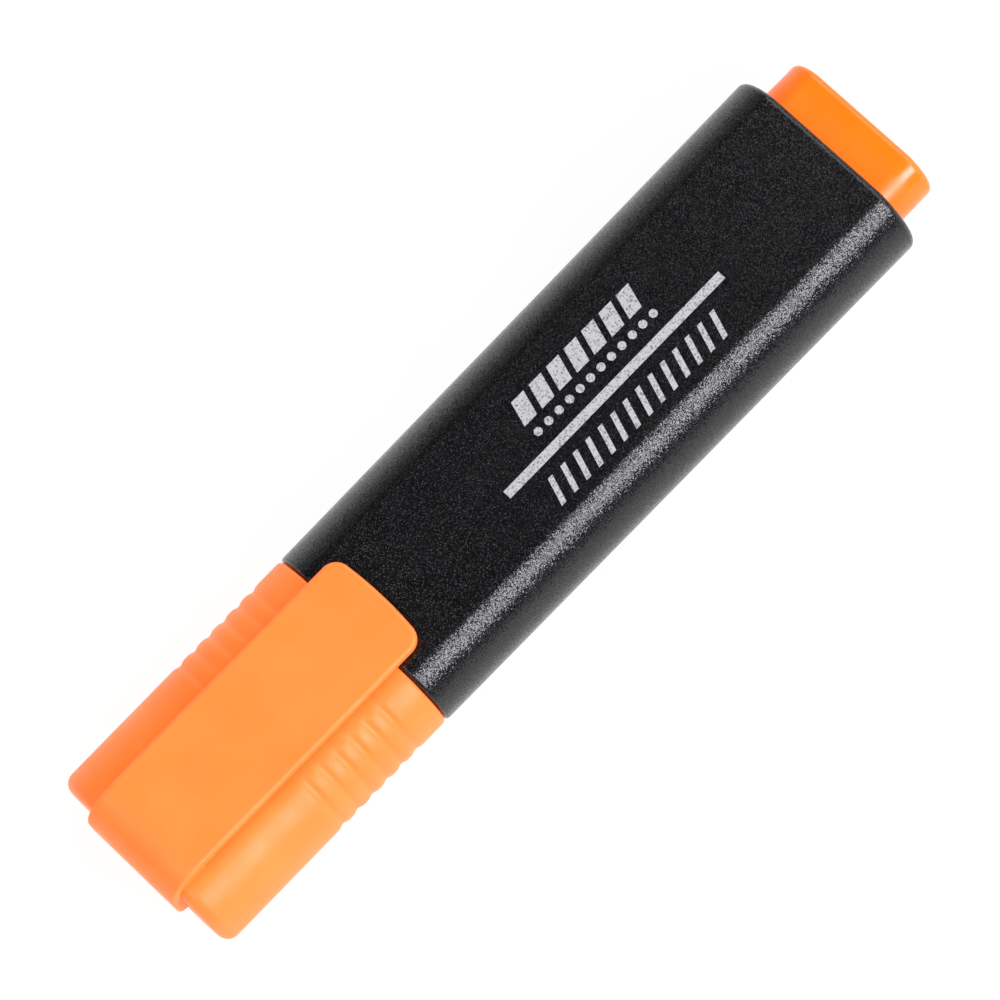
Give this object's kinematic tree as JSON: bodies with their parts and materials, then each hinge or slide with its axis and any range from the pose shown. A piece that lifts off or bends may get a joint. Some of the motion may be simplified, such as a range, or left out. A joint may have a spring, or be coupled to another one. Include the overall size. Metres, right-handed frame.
{
  "type": "highlighter",
  "caption": "Flat highlighter marker with broad flat faces and round sides, a pull-off cap with grip grooves and a strap clip, a chisel nib and a stepped end plug.",
  "frame": {"origin": "centre of the bounding box's underside, so the pen lies on Z = 0 with its clip up", "axes": "+X along the pen towards the nib and the cap's closed end, +Y across it, +Z out of the clip face"},
  "size_m": [0.1144, 0.0262, 0.0164],
  "materials": {
    "barrel": "matt black polypropylene with a fine sparkle grain",
    "front_section": "matt black moulding",
    "nib": "porous sintered plastic, soaked with ink",
    "reservoir": "bonded polyester fibre soaked with ink",
    "film": "thin clear film",
    "tube": "extruded natural plastic",
    "plug": "glossy fluorescent orange",
    "cap": "satin fluorescent orange",
    "liner": "soft natural polyethylene"
  },
  "bodies": {
    "pen": {"barrel": "barrel", "front_section": "front_section", "nib": "nib", "reservoir_core": "reservoir", "reservoir_film": "film", "breather_tube": "tube", "end_plug": "plug"},
    "cap": {"cap_shell": "cap", "inner_cap": "liner"},
    "clip": {"clip": "cap"}
  },
  "joints": [
    {"name": "cap_slide", "type": "slide", "parent": "pen", "child": "cap", "axis": [1, 0, 0], "range_m": [0, 0.04]},
    {"name": "clip_flex", "type": "hinge", "parent": "cap", "child": "clip", "pos_m": [0.0502, 0, 0.0164], "axis": [0, 1, 0], "range_deg": [0, 5], "stiffness_Nm_per_rad": 0.5}
  ]
}
